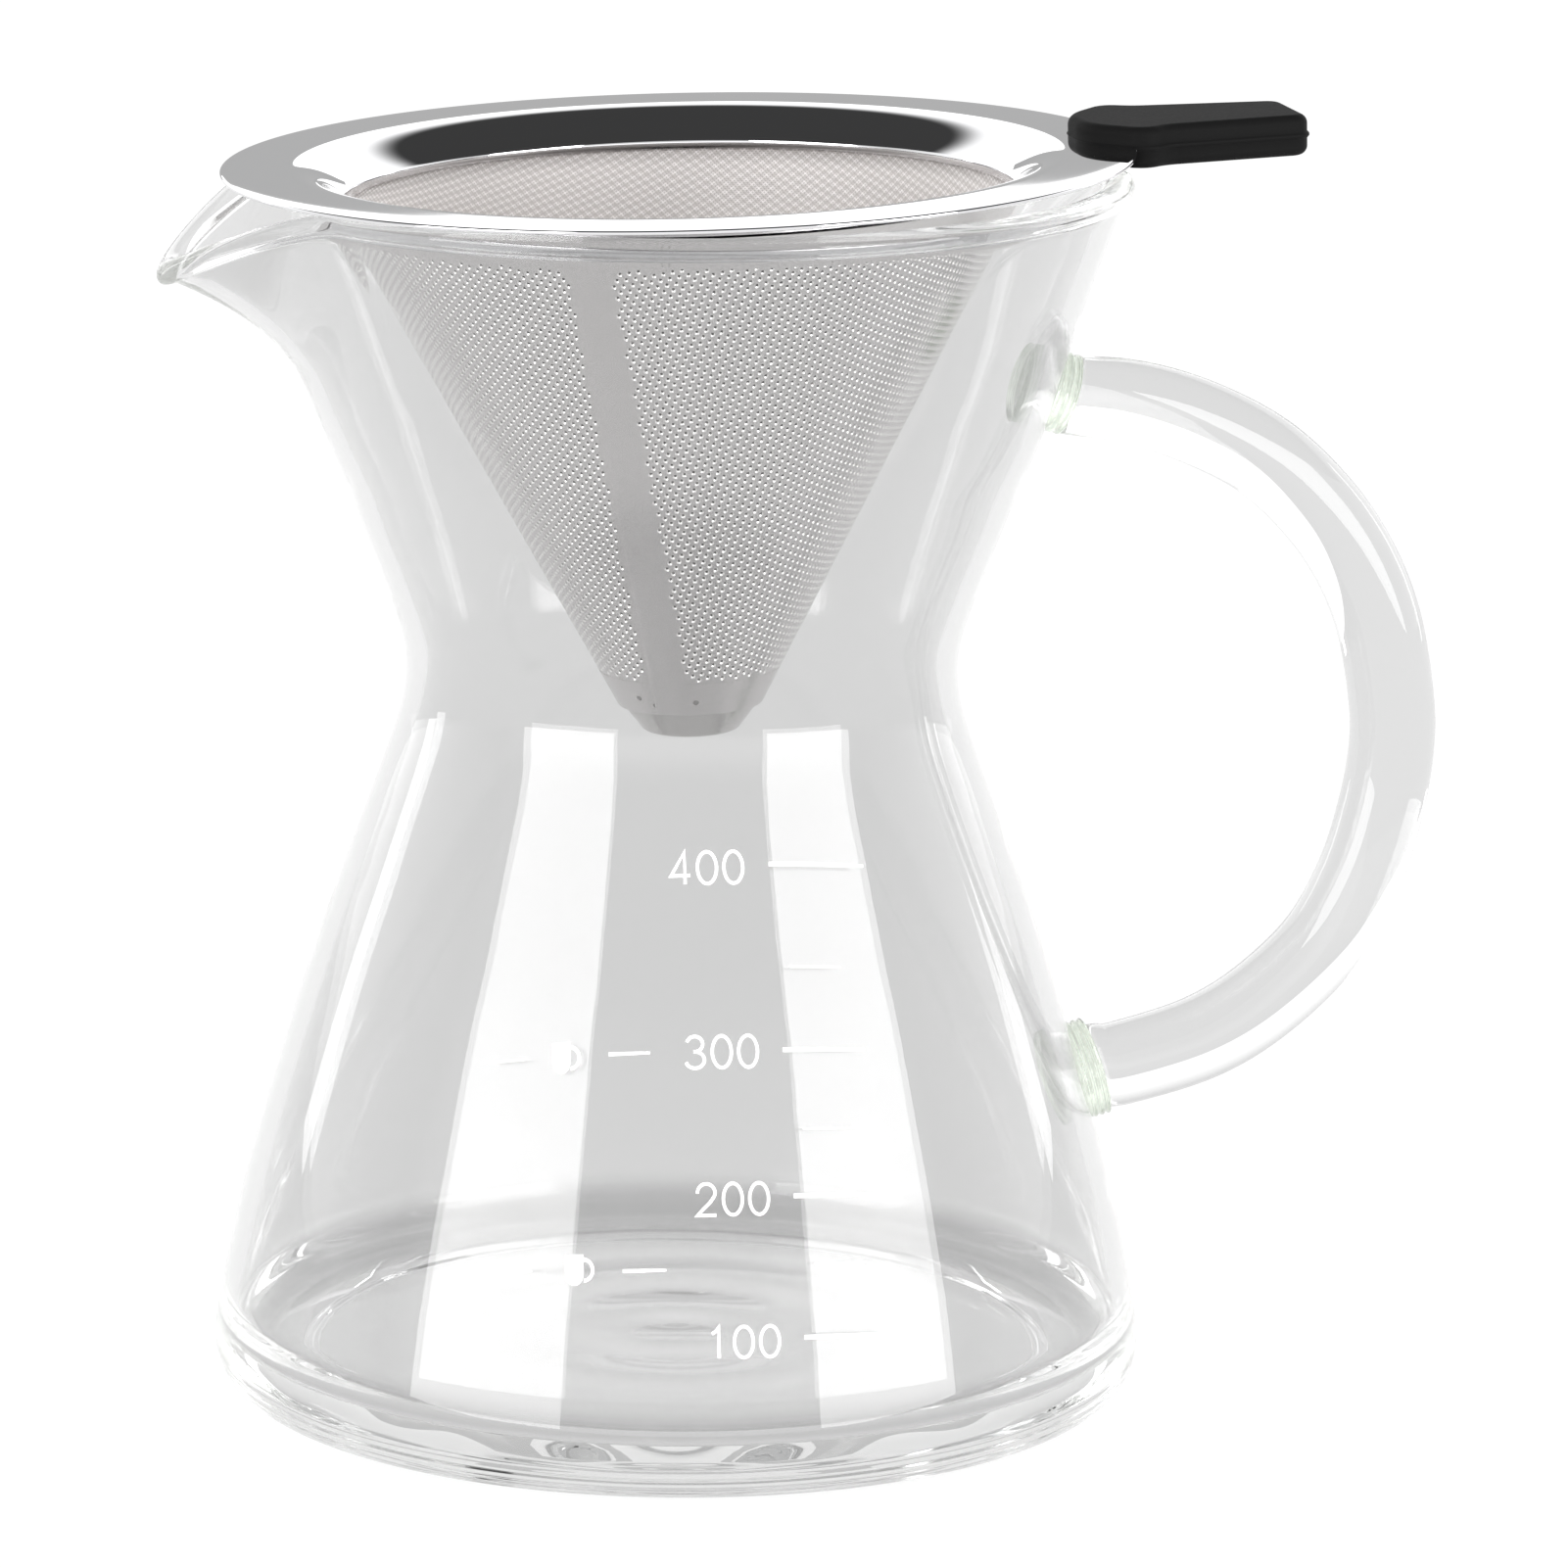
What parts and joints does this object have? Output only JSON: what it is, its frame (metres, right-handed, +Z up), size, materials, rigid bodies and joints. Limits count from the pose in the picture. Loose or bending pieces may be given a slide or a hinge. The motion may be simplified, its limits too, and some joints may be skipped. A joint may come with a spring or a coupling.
{
  "type": "coffee server carafe",
  "caption": "Hourglass glass coffee carafe with a pouring spout, a glass rod handle and a lift-out steel cone filter with a flat flange and a black grip.",
  "frame": {"origin": "on the axis of the glass, in the plane of the foot that it stands on", "axes": "+Z up, +X towards the handle and the filter's grip, -X towards the pouring spout, -Y towards the printed scale"},
  "size_m": [0.1525, 0.1086, 0.1491],
  "materials": {
    "glass": "clear, fire polished",
    "glass_joint": "clear, faint green tint, drawn rings",
    "white_print": "fired-on white enamel",
    "flange_steel": "satin stainless, polished lip",
    "cone_steel": "finely perforated stainless",
    "mesh_steel": "woven stainless mesh",
    "cup_steel": "satin stainless",
    "silicone": "matte black silicone"
  },
  "bodies": {
    "carafe": {"carafe_body": "glass", "handle_rod": "glass", "handle_upper_pad": "glass_joint", "handle_lower_pad": "glass_joint", "measuring_scale": "white_print"},
    "filter": {"filter_flange": "flange_steel", "perforated_cone": "cone_steel", "mesh_cone": "mesh_steel", "tip_cup": "cup_steel", "grip_sleeve": "silicone"}
  },
  "joints": [
    {"name": "filter_lift", "type": "slide", "parent": "carafe", "child": "filter", "axis": [0, 0, 1], "range_m": [0, 0.09]}
  ]
}
